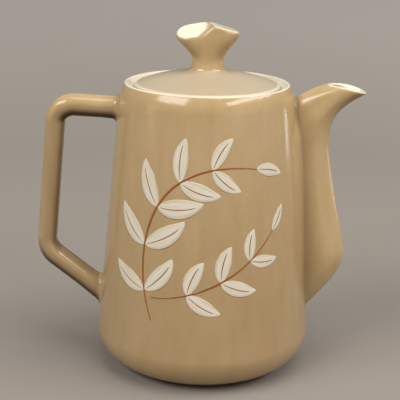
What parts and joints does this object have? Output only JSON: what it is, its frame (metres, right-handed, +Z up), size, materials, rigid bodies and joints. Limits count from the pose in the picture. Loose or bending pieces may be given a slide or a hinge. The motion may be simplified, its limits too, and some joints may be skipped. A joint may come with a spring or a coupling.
{
  "type": "coffee pot",
  "caption": "Tapered glazed earthenware coffee pot with an angular loop handle, a tall beaked spout and a recessed lift-off lid with a two-lobed knob.",
  "frame": {"origin": "centre of the foot ring, on the surface that the pot stands on", "axes": "+Z up along the body's axis, +X towards the spout's tip, -X towards the handle"},
  "size_m": [0.2041, 0.1352, 0.2165],
  "materials": {
    "body_glaze": "gloss tan glaze on earthenware, cream inside",
    "spout_glaze": "gloss tan glaze, cream at the lip",
    "handle_glaze": "gloss tan glaze",
    "lid_glaze": "gloss tan glaze, cream below",
    "flange_glaze": "gloss cream glaze",
    "knob_glaze": "gloss tan glaze with cream faces"
  },
  "bodies": {
    "pot": {"body_shell": "body_glaze", "spout": "spout_glaze", "handle": "handle_glaze"},
    "lid": {"lid_plate": "lid_glaze", "lid_flange": "flange_glaze", "knob": "knob_glaze"}
  },
  "joints": [
    {"name": "lid_lift", "type": "slide", "parent": "pot", "child": "lid", "axis": [0, 0, 1], "range_m": [0, 0.1]}
  ]
}
